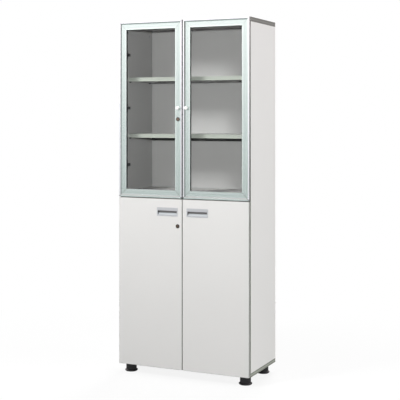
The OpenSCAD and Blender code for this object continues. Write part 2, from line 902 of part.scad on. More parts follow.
// Section of the space in a pull: y behind the door face, z from the pull's middle
module pull_space() {
    low = sill_h - pull_h / 2;
    high = tub_h / 2 - pull_wall;
    depth = pull_depth - pull_wall;
    front = -pull_lip - 1;
    under_flap = pull_h / 2 - flap_h;
    polygon([[front, low], [flap_back, low], [scoop_d, low + scoop_h], [depth, low + scoop_h],
        [depth, high], [flap_back, high], [flap_back, under_flap], [front, under_flap]]);
}

// Recessed pull: face plate, tub, flap above a slit for the fingers, scoop below it
module pull() {
    in_w = tub_w - 2 * pull_wall;
    color([0.75, 0.77, 0.78])
        translate([-pull_x, y_door, z_split - pull_drop]) difference() {
            union() {
                rotate([90, 0, 0]) linear_extrude(pull_lip) rounded_rect(pull_w, pull_h, 3);
                block([-tub_w / 2, 0, -tub_h / 2], [tub_w / 2, pull_depth, tub_h / 2]);
            }
            translate([-in_w / 2, 0, 0]) rotate([90, 0, 90]) linear_extrude(in_w) pull_space();
        }
}

module left_lower_door() {
    door_leaf(true);
}

module right_lower_door() {
    mirror([1, 0, 0]) door_leaf(false);
}

module left_lower_door_edging() {
    door_edging();
}

module right_lower_door_edging() {
    mirror([1, 0, 0]) door_edging();
}

module left_pull() {
    pull();
}

module right_pull() {
    mirror([1, 0, 0]) pull();
}

// LOCKS, in the left doors

// Housing whose head rests face behind the door's front plane
module lock_housing(z, face) {
    color([0.78, 0.78, 0.8]) translate([-lock_x, y_door + face, z]) rotate([-90, 0, 0]) difference() {
        union() {
            translate([0, 0, -lock_head_t]) cylinder(r1 = lock_head_d / 2 - 1, r2 = lock_head_d / 2, h = 1);
            translate([0, 0, -lock_head_t + 1]) cylinder(r = lock_head_d / 2, h = lock_head_t - 1);
            cylinder(r = lock_body_d / 2, h = lock_back - face);
            translate([0, 0, door_t - face]) cylinder(r = lock_body_d / 2 + 3, h = lock_nut_t, $fn = 6);
        }
        translate([0, 0, -lock_head_t - 1])
            cylinder(r = plug_d / 2 + plug_clear, h = lock_back - face + lock_head_t + 2);
    }
}

module lock_plug(z, face) {
    color([0.7, 0.7, 0.72]) translate([-lock_x, y_door + face, z]) rotate([-90, 0, 0]) difference() {
        translate([0, 0, -lock_head_t - 0.5]) cylinder(r = plug_d / 2, h = lock_back - face + lock_head_t + 4);
        translate([-0.9, -3.5, -lock_head_t - 1]) cube([1.8, 7, 8]);
    }
}

// Cam plate on the plug's tail, hanging down when unlocked
module lock_cam(z) {
    y_low = y_door + lock_back + 0.5;
    color([0.6, 0.61, 0.62]) translate([-lock_x, y_low, z]) rotate([-90, 0, 0]) difference() {
        union() {
            cylinder(r = plug_d / 2 + 3, h = cam_plate_t);
            translate([-6, 0, 0]) cube([12, cam_reach - 6, cam_plate_t]);
            translate([0, cam_reach - 6, 0]) cylinder(r = 6, h = cam_plate_t);
        }
        translate([0, 0, -1]) cylinder(r = plug_d / 2 + plug_clear, h = cam_plate_t + 2);
    }
}

module upper_lock_housing() {
    lock_housing(lock_places[0], lip_rise + lock_seat);
}

module upper_lock_plug() {
    lock_plug(lock_places[0], lip_rise + lock_seat);
}

module upper_lock_cam() {
    lock_cam(lock_places[0]);
}

module lower_lock_housing() {
    lock_housing(lock_places[1], 0);
}

module lower_lock_plug() {
    lock_plug(lock_places[1], 0);
}

module lower_lock_cam() {
    lock_cam(lock_places[1]);
}

// SLIDE BOLTS, behind the right doors

// Case with its near end at z = 0 and the bar leaving upwards
module bolt_case() {
    difference() {
        block([bolt_x - bolt_case_w / 2, y_door_back, -bolt_case_h], [bolt_x + bolt_case_w / 2,
            y_door_back + bolt_case_d, 0]);
        translate([bolt_x, bolt_axis_y, -bolt_case_h - 1]) cylinder(r = bolt_r + 0.05, h = bolt_case_h + 2);
        block([bolt_x - nub_r - 0.3, bolt_axis_y, -bolt_case_h + 8], [bolt_x + nub_r + 0.3,
            y_door_back + bolt_case_d + 1, -bolt_case_h + 12 + 2 * nub_r + bolt_travel]);
    }
}

module bolt_bar() {
    translate([bolt_x, bolt_axis_y, -bolt_case_h - 4])
        cylinder(r = bolt_r, h = bolt_case_h + 4 + bolt_edge - bolt_clear);
    y_rod(bolt_x, bolt_axis_y, -bolt_case_h + 9 + nub_r, nub_r,
        y_door_back + bolt_case_d - bolt_axis_y + nub_len);
}

module upper_bolt_case() {
    color([0.66, 0.67, 0.68]) translate([0, 0, z_ceiling - bolt_edge]) bolt_case();
}

module upper_bolt_bar() {
    color([0.75, 0.76, 0.77]) translate([0, 0, z_ceiling - bolt_edge]) bolt_bar();
}

module lower_bolt_case() {
    color([0.66, 0.67, 0.68]) translate([0, 0, z_floor + bolt_edge]) mirror([0, 0, 1]) bolt_case();
}

module lower_bolt_bar() {
    color([0.75, 0.76, 0.77]) translate([0, 0, z_floor + bolt_edge]) mirror([0, 0, 1]) bolt_bar();
}

// FEET

module foot_sockets() {
    color([0.15, 0.15, 0.16])
        for (x = [-foot_x, foot_x], y = [foot_y_front, foot_y_rear])
            translate([x, y, 0]) {
                translate([0, 0, z_base - socket_t]) cylinder(r = foot_d / 2, h = socket_t);
                translate([0, 0, foot_floor + 4])
                    cylinder(r = sleeve_r, h = z_base - socket_t - foot_floor - 3);
            }
}

// Points of the ribbed outline: each rib is a raised quarter of its share of the circle
function ribbed_outline(r, n, rise) = [for (i = [0:n - 1], k = [[0, 0], [0.15, rise], [0.55, rise], [0.7, 0]])
    let (a = 360 * (i + k[0]) / n) [(r - rise + k[1]) * cos(a), (r - rise + k[1]) * sin(a)]];

module foot(x, y) {
    color([0.14, 0.14, 0.15]) translate([x, y, 0]) difference() {
        union() {
            cylinder(r1 = foot_base_d / 2 - 4, r2 = foot_base_d / 2, h = 4);
            translate([0, 0, 4]) cylinder(r = foot_base_d / 2, h = 4);
            translate([0, 0, 8]) cylinder(r1 = foot_base_d / 2, r2 = foot_d / 2 + 0.5, h = base_h - 8);
            translate([0, 0, base_h]) linear_extrude(z_base - socket_t - 0.3 - base_h)
                polygon(ribbed_outline(foot_d / 2, foot_ribs, 1.2));
        }
        translate([0, 0, foot_floor]) cylinder(r = sleeve_r + 0.05, h = z_base);
    }
}

module front_left_foot() {
    foot(-foot_x, foot_y_front);
}

module front_right_foot() {
    foot(foot_x, foot_y_front);
}

module rear_left_foot() {
    foot(-foot_x, foot_y_rear);
}

module rear_right_foot() {
    foot(foot_x, foot_y_rear);
}

left_side_board();
right_side_board();
top_board();
bottom_board();
middle_board();
middle_rail();
back_board();
edge_trim();
upper_shelf_high();
upper_shelf_low();
lower_shelf();
shelf_pins();
cam_fasteners();
hinge_plates();
hinge_arms();
foot_sockets();
front_left_foot();
front_right_foot();
rear_left_foot();
rear_right_foot();
left_frame_hinge_stile();
left_frame_meeting_stile();
left_frame_top_rail();
left_frame_bottom_rail();
left_frame_corner_keys();
left_glass();
left_gasket();
left_knob();
left_upper_hinge_cups();
left_upper_hinge_links();
right_frame_hinge_stile();
right_frame_meeting_stile();
right_frame_top_rail();
right_frame_bottom_rail();
right_frame_corner_keys();
right_glass();
right_gasket();
right_knob();
right_upper_hinge_cups();
right_upper_hinge_links();
left_lower_door();
left_lower_door_edging();
left_pull();
left_lower_hinge_cups();
left_lower_hinge_links();
right_lower_door();
right_lower_door_edging();
right_pull();
right_lower_hinge_cups();
right_lower_hinge_links();
upper_lock_housing();
upper_lock_plug();
upper_lock_cam();
lower_lock_housing();
lower_lock_plug();
lower_lock_cam();
upper_bolt_case();
upper_bolt_bar();
lower_bolt_case();
lower_bolt_bar();
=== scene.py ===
import math

import bpy
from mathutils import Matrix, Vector


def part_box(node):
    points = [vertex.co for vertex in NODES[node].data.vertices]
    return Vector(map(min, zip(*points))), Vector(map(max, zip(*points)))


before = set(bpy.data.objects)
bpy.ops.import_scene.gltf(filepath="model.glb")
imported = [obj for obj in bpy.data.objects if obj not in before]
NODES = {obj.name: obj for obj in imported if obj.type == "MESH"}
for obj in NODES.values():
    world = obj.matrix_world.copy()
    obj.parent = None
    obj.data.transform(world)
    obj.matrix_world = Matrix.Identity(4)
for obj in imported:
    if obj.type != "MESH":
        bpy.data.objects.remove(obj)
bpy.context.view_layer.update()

# The photograph's camera, in the row frame.
CAMERA_PLACE = (2.3622, -5.0915, 1.4523)
CAMERA_TURN = math.radians(24.71)
CAMERA_TILT = math.radians(-0.22)
CAMERA_LENS = 88.33
CAMERA_SHIFT = -0.2165

# A glazed door and the width of its frame members. All lengths are metres in the row frame.
DOOR_LOW, DOOR_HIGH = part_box("right_frame_bottom_rail")[0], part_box("right_frame_top_rail")[1]
DOOR_MID = (DOOR_LOW + DOOR_HIGH) / 2
DOOR_HALF = (DOOR_HIGH - DOOR_LOW) / 2
STILE_LOW, STILE_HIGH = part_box("right_frame_hinge_stile")
MEMBER_W = STILE_HIGH.x - STILE_LOW.x

# Shares of the way in from the outer edge of a frame member. Each pair is where a change starts and ends.
# Lip and inner rim get a painted highlight; slopes and bevels get painted shade.
LIP_HIGHLIGHT_ENDS = (0.16, 0.22)
SLOPE_STARTS = (0.170, 0.185)
SLOPE_ENDS = 0.320
SLOPE_FADES = 0.02
MEETING_SLOPE_EXTRA = 0.050
BOTTOM_SLOPE_EXTRA = 0.045
STILE_BEVEL = (0.955, 0.975)
BOTTOM_BEVEL = (0.900, 0.940)
RIM_HIGHLIGHT_STARTS = (0.84, 0.88)
SEAM_NARROWS = (0.13, 0.18)

# How much painted shade the slopes and bevels of a frame get; on left stiles from bottom to top.
STILE_SHADE = (0.50, 0.86)
TOP_RAIL_SHADE, BOTTOM_RAIL_SHADE = 0.15, 0.62
STILE_BEVEL_SHADE, BOTTOM_BEVEL_SHADE = 0.7, 0.6

# Painted shade between the glazed doors goes from the middle to a little past their meeting edges.
CENTRE_GAP_SHADE_ENDS = (DOOR_LOW.x + 0.0016, DOOR_LOW.x + 0.0022)

# Faint lines along the band of a frame member: place across it, and share of the line's colour.
BAND_LINES = ((0.0, 0.0), (0.40, 0.0), (0.46, 0.45), (0.52, 0.0), (0.58, 0.0), (0.64, 0.40),
              (0.70, 0.0), (1.0, 0.0))

# The inside of the carcass, whose faces are painted grey as shade, and how far past its faces that painted
# shade still holds.
INNER_SIDE, INNER_FRONT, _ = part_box("right_side_board")[0]
INNER_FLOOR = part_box("bottom_board")[1].z
INNER_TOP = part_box("top_board")[0].z
INNER_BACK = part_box("back_board")[0].y
FACE_SLACK = 0.0002

# Undersides of the glazed shelves. The lower one leaves a shade on the back board: how far below it the
# shade fades, and how far above it and in front of the board it still counts.
HIGH_SHELF_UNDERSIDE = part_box("upper_shelf_high")[0].z
LOW_SHELF_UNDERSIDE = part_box("upper_shelf_low")[0].z
SHADE_FADES = (0.0200, 0.0240)
SHADE_ABOVE = 0.001
SHADE_BEFORE = 0.002

# Trim this near to the top or bottom board is theirs. Of the rest, what lies behind this depth is a shelf's.
NEAR_BOARD = 0.02
SHELF_TRIM_DEPTH = (INNER_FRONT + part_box("upper_shelf_low")[0].y) / 2

# The light stripe along the middle of the boards' trim, and the pale edge along the shelves' trim.
TOP_BOARD_MID = (INNER_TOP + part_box("top_board")[1].z) / 2
LOW_BOARD_MID = (INNER_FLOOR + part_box("bottom_board")[0].z) / 2
STRIPE_FADES = (0.0030, 0.0046)
STRIPE_SHARES = (0.9, 0.1)
SHELF_EDGE_FADES = (0.0045, 0.0055)
SHELF_EDGE_SHARE = 0.8
TRIM_GRAIN = 0.5

# Distances below the lower doors' top edge, where the edge band gets painted shade, and behind the front of
# the pull's plate.
LOWER_DOOR_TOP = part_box("left_lower_door_edging")[1].z
EDGING_SHADE_FADES = (0.0008, 0.0015)
PULL_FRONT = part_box("left_pull")[0].y
# Where painted shade starts in the pull's pocket and in its slit.
POCKET_STARTS = (0.0010, 0.0020)
SLIT_STARTS = (0.0085, 0.0097)

# How squarely a face has to look along an axis, from where a change starts to where it is full.
DUST_FACING = (0.6, 1.0)
INNER_FLOOR_FACING = (0.5, 0.9)
FRAME_SIDE_SHADE_FACING = (0.2, 0.4)
SCOOP_FACING = (0.2, 0.5)
POCKET_END_FACING = (0.5, 0.8)

# Textures: noise scales, and the stretch of the noise over which each change happens.
NOISE_MIDDLE = (0.3, 0.7)
SPECK_STARTS = (0.52, 0.72)
CLOUD_SCALE = 3.5
GRAIN_IN_GLOSS, CLOUD_IN_GLOSS = 0.6, 0.4
LINE_STARTS = (0.4, 0.75)
DUST_SCALE = 26.0
DUST_STARTS = (0.35, 0.75)
SMEAR_SCALE = 14.0
SMEAR_STARTS = (0.45, 0.8)
BUMP_STRENGTH = 0.3

# Finishes, as linear colours.
BOARD_WHITE = (0.722, 0.718, 0.704)
BOARD_SPECK = (0.650, 0.645, 0.635)
# Painted shade: the carcass's inside faces, and darker still for the light they pass on.
INNER_PAINTED_SHADE = (0.560, 0.560, 0.550)
INNER_SHADE = (0.080, 0.080, 0.080)
# Painted shade: the middle rail's front, seen only through the gap between the doors, is darkened.
RAIL_PAINTED_SHADE = (0.055, 0.056, 0.058)
RAIL_SPECK = (0.090, 0.090, 0.090)
# One trim in two copies: darker on the top board as painted shade, lighter on the low board as painted light.
TOP_TRIM_DARK = (0.052, 0.056, 0.047)
TOP_TRIM_LIGHT = (0.125, 0.133, 0.116)
LOW_TRIM_DARK = (0.140, 0.152, 0.126)
LOW_TRIM_LIGHT = (0.330, 0.352, 0.305)
SHELF_TRIM = (0.455, 0.490, 0.437)
SHELF_TRIM_LINE = (0.400, 0.430, 0.384)
SHELF_TRIM_EDGE = (0.530, 0.570, 0.510)
EDGING_GREY = (0.280, 0.288, 0.272)
# Painted shade along the lower doors' top edge, below the gap.
EDGING_TOP_SHADE = (0.060, 0.062, 0.058)
SHELF_SHADE = (0.060, 0.060, 0.060)
ALUMINIUM = (0.628, 0.742, 0.714)
ALUMINIUM_LINE = (0.493, 0.590, 0.568)
# Frame members: painted highlight on lips and inner rim; painted shade on slopes, side faces and centre gap.
ALUMINIUM_LIP_HIGHLIGHT = (0.910, 0.945, 0.985)
ALUMINIUM_RIM_HIGHLIGHT = (0.760, 0.880, 0.850)
ALUMINIUM_SLOPE_SHADE = (0.085, 0.095, 0.095)
ALUMINIUM_SIDE_SHADE = (0.150, 0.155, 0.155)
ALUMINIUM_GAP_SHADE = (0.090, 0.090, 0.092)
SEAM_DARK = (0.120, 0.140, 0.135)
PANE_TINT = (0.950, 0.965, 0.960)
RUBBER_BLACK = (0.022, 0.023, 0.024)
RUBBER_SPECK = (0.050, 0.050, 0.050)
KNOB_WHITE = (0.900, 0.900, 0.890)
KNOB_SPECK = (0.840, 0.840, 0.830)
PULL_SILVER = (0.560, 0.590, 0.610)
PULL_LINE = (0.460, 0.490, 0.510)
# Painted shade in the pull's pocket: dark slit, duller scoop, dark end faces.
PULL_SHADE = (0.200, 0.205, 0.205)
PULL_SCOOP_SHADE = (0.390, 0.450, 0.460)
PULL_ENDS_SHADE = (0.090, 0.092, 0.095)
LOCK_HEAD = (0.120, 0.115, 0.112)
LOCK_HEAD_LINE = (0.200, 0.190, 0.190)
LOCK_PLUG = (0.300, 0.235, 0.180)
LOCK_PLUG_LINE = (0.240, 0.170, 0.120)
NICKEL = (0.420, 0.430, 0.450)
NICKEL_LINE = (0.300, 0.310, 0.330)
# Nickel darkened as painted shade, for the hinge arms and plates and the shelf pins.
NICKEL_PAINTED_SHADE = (0.045, 0.048, 0.052)
NICKEL_PAINTED_SHADE_LINE = (0.030, 0.030, 0.035)
FOOT_BLACK = (0.006, 0.0065, 0.0075)
FOOT_SPECK = (0.050, 0.050, 0.055)

# The glass: how far it bends light, how rough its smears are, and what share of lamplight it holds back.
PANE_IOR = 1.2
PANE_SMEARS = 0.03
PANE_DIMMING = 0.05


class Net:
    """One node tree, with short ways to add and join nodes."""

    def __init__(self, tree):
        self.tree = tree

    def add(self, kind, **settings):
        node = self.tree.nodes.new(kind)
        for name, value in settings.items():
            setattr(node, name, value)
        return node

    def feed(self, socket, value):
        if isinstance(value, bpy.types.NodeSocket):
            self.tree.links.new(value, socket)
        elif isinstance(value, tuple) and len(value) == 3 and socket.type == "RGBA":
            socket.default_value = (*value, 1.0)
        else:
            socket.default_value = value

    def math(self, operation, a, b=0.0, clamp=False):
        node = self.add("ShaderNodeMath", operation=operation, use_clamp=clamp)
        self.feed(node.inputs[0], a)
        self.feed(node.inputs[1], b)
        return node.outputs[0]

    def product(self, first, *others):
        """All the factors multiplied."""
        for other in others:
            first = self.math("MULTIPLY", first, other)
        return first

    def absolute(self, value):
        return self.math("ABSOLUTE", value)

    def opposite(self, share):
        return self.math("SUBTRACT", 1.0, share)

    def axes(self, vector):
        """The X, Y and Z outputs for a vector."""
        node = self.add("ShaderNodeSeparateXYZ")
        self.feed(node.inputs[0], vector)
        return node.outputs

    def span(self, value, low, high, out_low=0.0, out_high=1.0):
        """A smooth change from one output to the other while the value goes from low to high."""
        node = self.add("ShaderNodeMapRange", interpolation_type="SMOOTHSTEP")
        for name, given in (("Value", value), ("From Min", low), ("From Max", high),
                            ("To Min", out_low), ("To Max", out_high)):
            self.feed(node.inputs[name], given)
        return node.outputs["Result"]

    def noise(self, vector, scale, detail, rough=0.5):
        node = self.add("ShaderNodeTexNoise")
        self.feed(node.inputs["Vector"], vector)
        self.feed(node.inputs["Scale"], scale)
        self.feed(node.inputs["Detail"], detail)
        self.feed(node.inputs["Roughness"], rough)
        return node.outputs["Fac"]

    def blend(self, share, a, b):
        """Colour a where the share is 0, colour b where it is 1."""
        node = self.add("ShaderNodeMix", data_type="RGBA")
        self.feed(node.inputs["Factor"], share)
        self.feed(node.inputs[6], a)
        self.feed(node.inputs[7], b)
        return node.outputs[2]

    def stretch(self, vector, by):
        node = self.add("ShaderNodeVectorMath", operation="MULTIPLY")
        self.feed(node.inputs[0], vector)
        self.feed(node.inputs[1], by)
        return node.outputs[0]


def effect_group(name, takes, gives):
    """An empty node group with named inputs and outputs, ready to be filled."""
    tree = bpy.data.node_groups.new(name, "ShaderNodeTree")
    for label, kind, value in takes:
        socket = tree.interface.new_socket(label, in_out="INPUT", socket_type=kind)
        if value is not None:
            socket.default_value = value
    for label, kind in gives:
        tree.interface.new_socket(label, in_out="OUTPUT", socket_type=kind)
    net = Net(tree)
    return net, net.add("NodeGroupInput").outputs, net.add("NodeGroupOutput").inputs


FLOAT, COLOUR, VECTOR = "NodeSocketFloat", "NodeSocketColor", "NodeSocketVector"


def make_pearl_skin():
    """Fine pearl texture of a melamine face, a moulding or a coat of paint: tone, gloss and height."""
    net, take, give = effect_group(
        "pearl_skin",
        [("Vector", VECTOR, None), ("Colour", COLOUR, (0.8, 0.8, 0.8, 1)),
         ("Speck Colour", COLOUR, (0.7, 0.7, 0.7, 1)), ("Speck", FLOAT, 0.2),
         ("Grain Scale", FLOAT, 700.0), ("Drift", FLOAT, 0.03), ("Gloss Low", FLOAT, 0.35),
         ("Gloss High", FLOAT, 0.5)],
        [("Colour", COLOUR), ("Roughness", FLOAT), ("Height", FLOAT)])
    grain = net.noise(take["Vector"], take["Grain Scale"], detail=2.0)
    cloud = net.noise(take["Vector"], CLOUD_SCALE, detail=3.0)
    specks = net.product(net.span(grain, *SPECK_STARTS), take["Speck"])
    body = net.blend(specks, take["Colour"], take["Speck Colour"])
    lift = net.product(net.math("SUBTRACT", cloud, 0.5), take["Drift"])
    tone = net.add("ShaderNodeHueSaturation")
    net.feed(tone.inputs["Color"], body)
    net.feed(tone.inputs["Value"], net.math("ADD", lift, 1.0))
    net.feed(give["Colour"], tone.outputs[0])
    mixed = net.math("ADD", net.product(grain, GRAIN_IN_GLOSS), net.product(cloud, CLOUD_IN_GLOSS))
    net.feed(give["Roughness"], net.span(mixed, *NOISE_MIDDLE, take["Gloss Low"], take["Gloss High"]))
    net.feed(give["Height"], grain)
    return net.tree


def make_drawn_lines():
    """Lines that the die or the brush leaves along a metal piece: tone, gloss and height."""
    net, take, give = effect_group(
        "drawn_lines",
        [("Vector", VECTOR, None), ("Stretch", VECTOR, (900, 900, 4)),
         ("Colour", COLOUR, (0.8, 0.8, 0.8, 1)), ("Line Colour", COLOUR, (0.6, 0.6, 0.6, 1)),
         ("Lines", FLOAT, 0.3), ("Gloss Low", FLOAT, 0.28), ("Gloss High", FLOAT, 0.42)],
        [("Colour", COLOUR), ("Roughness", FLOAT), ("Height", FLOAT)])
    along = net.stretch(take["Vector"], take["Stretch"])
    fine = net.noise(along, scale=1.0, detail=3.0, rough=0.6)
    share = net.product(net.span(fine, *LINE_STARTS), take["Lines"])
    net.feed(give["Colour"], net.blend(share, take["Colour"], take["Line Colour"]))
    net.feed(give["Roughness"], net.span(fine, *NOISE_MIDDLE, take["Gloss Low"], take["Gloss High"]))
    net.feed(give["Height"], fine)
    return net.tree


def make_frame_section():
    """Place on a mitred door frame: share of the way in from its edge, the lip's painted highlight, seam,
    painted shade, and the centre gap's painted shade.
    """
    net, take, give = effect_group(
        "frame_section",
        [("Vector", VECTOR, None), ("Band Seam", FLOAT, 0.0026), ("Lip Seam", FLOAT, 0.0060),
         ("Seam Low", FLOAT, 0.9), ("Seam High", FLOAT, 0.4)],
        [("Inward", FLOAT), ("Lip", FLOAT), ("Seam", FLOAT), ("Shade", FLOAT), ("Centre Gap", FLOAT)])
    place = net.axes(take["Vector"])
    across = net.math("SUBTRACT", place["X"], net.product(net.math("SIGN", place["X"]), DOOR_MID.x))
    upward = net.math("SUBTRACT", place["Z"], DOOR_MID.z)
    from_side = net.math("SUBTRACT", DOOR_HALF.x, net.absolute(across))
    from_end = net.math("SUBTRACT", DOOR_HALF.z, net.absolute(upward))
    inward = net.math("DIVIDE", net.math("MINIMUM", from_side, from_end), MEMBER_W, clamp=True)
    net.feed(give["Inward"], inward)

    upright = net.math("LESS_THAN", from_side, from_end)
    level = net.opposite(upright)
    left_stile = net.product(net.math("LESS_THAN", across, 0.0), upright)
    top_rail = net.product(net.math("GREATER_THAN", upward, 0.0), level)
    bottom_rail = net.math("SUBTRACT", level, top_rail)
    meeting = net.product(left_stile, net.math("GREATER_THAN", place["X"], 0.0))

    # Painted shade on the slopes and inner bevels: on left stiles by height, little on top rails, much on
    # bottom rails.
    inner_edge = net.math("ADD", net.product(meeting, MEETING_SLOPE_EXTRA), SLOPE_ENDS)
    past_outer = net.math("ADD", inward, net.product(bottom_rail, BOTTOM_SLOPE_EXTRA))
    past_inner = net.math("SUBTRACT", inward, inner_edge)
    slope = net.product(net.span(past_outer, *SLOPE_STARTS),
                        net.span(past_inner, 0.0, SLOPE_FADES, 1.0, 0.0))
    by_height = net.span(upward, -DOOR_HALF.z, DOOR_HALF.z, *STILE_SHADE)
    rail_shade = net.math("ADD", net.product(top_rail, TOP_RAIL_SHADE),
                          net.product(bottom_rail, BOTTOM_RAIL_SHADE))
    on_slope = net.product(slope, net.math("ADD", net.product(left_stile, by_height), rail_shade))
    stile_bevel = net.span(inward, *STILE_BEVEL, 0.0, STILE_BEVEL_SHADE)
    bottom_bevel = net.span(inward, *BOTTOM_BEVEL, 0.0, BOTTOM_BEVEL_SHADE)
    on_bevel = net.math("ADD", net.product(left_stile, stile_bevel), net.product(bottom_rail, bottom_bevel))
    net.feed(give["Shade"], net.math("ADD", on_slope, on_bevel))

    # Painted highlight on the lip, left off the bottom rails.
    lip = net.span(inward, *LIP_HIGHLIGHT_ENDS, 1.0, 0.0)
    net.feed(give["Lip"], net.product(lip, net.opposite(bottom_rail)))
    # Painted shade in the gap where the doors meet.
    net.feed(give["Centre Gap"], net.span(net.absolute(place["X"]), *CENTRE_GAP_SHADE_ENDS, 1.0, 0.0))

    apart = net.absolute(net.math("SUBTRACT", from_side, from_end))
    width = net.span(inward, *SEAM_NARROWS, take["Lip Seam"], take["Band Seam"])
    seam = net.opposite(net.math("DIVIDE", apart, width, clamp=True))
    fade = net.span(upward, -DOOR_HALF.z, DOOR_HALF.z, take["Seam Low"], take["Seam High"])
    net.feed(give["Seam"], net.product(seam, fade))
    return net.tree


def make_settled_dust():
    """A faint grey veil on faces that look up."""
    net, take, give = effect_group(
        "settled_dust",
        [("Vector", VECTOR, None), ("Colour", COLOUR, (0.8, 0.8, 0.8, 1)),
         ("Dust Colour", COLOUR, (0.55, 0.54, 0.52, 1)), ("Amount", FLOAT, 0.1)],
        [("Colour", COLOUR)])
    facing = net.axes(net.add("ShaderNodeNewGeometry").outputs["Normal"])
    patch = net.span(net.noise(take["Vector"], DUST_SCALE, detail=5.0, rough=0.65), *DUST_STARTS)
    share = net.product(net.span(facing["Z"], *DUST_FACING), patch, take["Amount"])
    net.feed(give["Colour"], net.blend(share, take["Colour"], take["Dust Colour"]))
    return net.tree


def make_inner_box():
    """1 on the faces that bound the inside of the carcass, 0 outside."""
    net, take, give = effect_group(
        "inner_box",
        [("Vector", VECTOR, None), ("Half Width", FLOAT, INNER_SIDE + FACE_SLACK),
         ("Low", FLOAT, INNER_FLOOR - FACE_SLACK), ("High", FLOAT, INNER_TOP + FACE_SLACK),
         ("Front", FLOAT, INNER_FRONT - FACE_SLACK), ("Back", FLOAT, INNER_BACK + FACE_SLACK)],
        [("Inside", FLOAT)])
    place = net.axes(take["Vector"])
    between_sides = net.math("LESS_THAN", net.absolute(place["X"]), take["Half Width"])
    above = net.math("GREATER_THAN", place["Z"], take["Low"])
    below = net.math("LESS_THAN", place["Z"], take["High"])
    behind_front = net.math("GREATER_THAN", place["Y"], take["Front"])
    before_back = net.math("LESS_THAN", place["Y"], take["Back"])
    net.feed(give["Inside"], net.product(between_sides, above, below, behind_front, before_back))
    return net.tree


PEARL, DRAWN, DUST = make_pearl_skin(), make_drawn_lines(), make_settled_dust()
SECTION, INNER = make_frame_section(), make_inner_box()
FINISHES = {}


class Finish(Net):
    """One material, kept in FINISHES: a Principled shader, its coordinates, and the effects placed in it."""

    def __init__(self, name, **constants):
        material = bpy.data.materials.new(name)
        material.use_nodes = True
        FINISHES[name] = material
        super().__init__(material.node_tree)
        self.tree.nodes.clear()
        self.shader = self.add("ShaderNodeBsdfPrincipled")
        self.feed(self.add("ShaderNodeOutputMaterial").inputs["Surface"], self.shader.outputs[0])
        coordinates = self.add("ShaderNodeTexCoord").outputs
        self.place, self.turned = coordinates["Object"], coordinates["Normal"]
        for label, value in constants.items():
            self.feed(self.shader.inputs[label.replace("_", " ")], value)

    def effect(self, group, **values):
        node = self.add("ShaderNodeGroup", node_tree=group)
        self.feed(node.inputs["Vector"], self.place)
        for label, value in values.items():
            self.feed(node.inputs[label.replace("_", " ")], value)
        return node.outputs

    def bump(self, height, depth):
        node = self.add("ShaderNodeBump")
        self.feed(node.inputs["Height"], height)
        self.feed(node.inputs["Distance"], depth)
        self.feed(node.inputs["Strength"], BUMP_STRENGTH)
        self.feed(self.shader.inputs["Normal"], node.outputs[0])

    def use(self, colour, roughness):
        self.feed(self.shader.inputs["Base Color"], colour)
        self.feed(self.shader.inputs["Roughness"], roughness)


def pearl_finish(name, colour, speck, grain, gloss, depth, dust=0.0, **constants):
    """Moulded or painted piece: specks of a second tone, gloss between two roughnesses, a little dust."""
    made = Finish(name, **constants)
    skin = made.effect(PEARL, Colour=colour, Speck_Colour=speck, Grain_Scale=grain,
                       Gloss_Low=gloss[0], Gloss_High=gloss[1])
    made.bump(skin["Height"], depth)
    tone = skin["Colour"]
    if dust:
        tone = made.effect(DUST, Colour=tone, Amount=dust)["Colour"]
    made.use(tone, skin["Roughness"])


def drawn_finish(name, colour, line, stretch, lines, gloss, depth, **constants):
    """Metal fitting with fine lines of a second tone, gloss between two roughnesses."""
    made = Finish(name, **constants)
    drawn = made.effect(DRAWN, Colour=colour, Line_Colour=line, Stretch=stretch, Lines=lines,
                        Gloss_Low=gloss[0], Gloss_High=gloss[1])
    made.bump(drawn["Height"], depth)
    made.use(drawn["Colour"], drawn["Roughness"])


def frame_finish(name, stretch):
    """Satin anodised frame member: faint lines along the band, mitre seams, painted highlight on lips and
    inner rim, painted shade on slopes, side faces and the centre gap.
    """
    made = Finish(name, Metallic=0.75)
    section = made.effect(SECTION)
    drawn = made.effect(DRAWN, Colour=ALUMINIUM, Line_Colour=ALUMINIUM_LINE, Stretch=stretch,
                        Lines=0.05, Gloss_Low=0.25, Gloss_High=0.28)
    ramp = made.add("ShaderNodeValToRGB")
    ramp.color_ramp.interpolation = "LINEAR"
    for index, (place, share) in enumerate(BAND_LINES):
        stop = ramp.color_ramp.elements[index] if index < 2 else ramp.color_ramp.elements.new(place)
        stop.position = place
        stop.color = (share, share, share, 1.0)
    made.feed(ramp.inputs[0], section["Inward"])
    band = made.blend(ramp.outputs[0], drawn["Colour"], ALUMINIUM_LINE)
    # Painted highlight on the inner rim and lips, then painted shade on slopes, side faces and centre gap.
    band = made.blend(made.span(section["Inward"], *RIM_HIGHLIGHT_STARTS), band, ALUMINIUM_RIM_HIGHLIGHT)
    tone = made.blend(section["Lip"], band, ALUMINIUM_LIP_HIGHLIGHT)
    tone = made.blend(section["Shade"], tone, ALUMINIUM_SLOPE_SHADE)
    side = made.span(made.absolute(made.axes(made.turned)["Y"]), *FRAME_SIDE_SHADE_FACING, 1.0, 0.0)
    tone = made.blend(side, tone, ALUMINIUM_SIDE_SHADE)
    tone = made.blend(section["Centre Gap"], tone, ALUMINIUM_GAP_SHADE)
    tone = made.blend(section["Seam"], tone, SEAM_DARK)
    made.bump(drawn["Height"], depth=0.000004)
    made.use(tone, drawn["Roughness"])


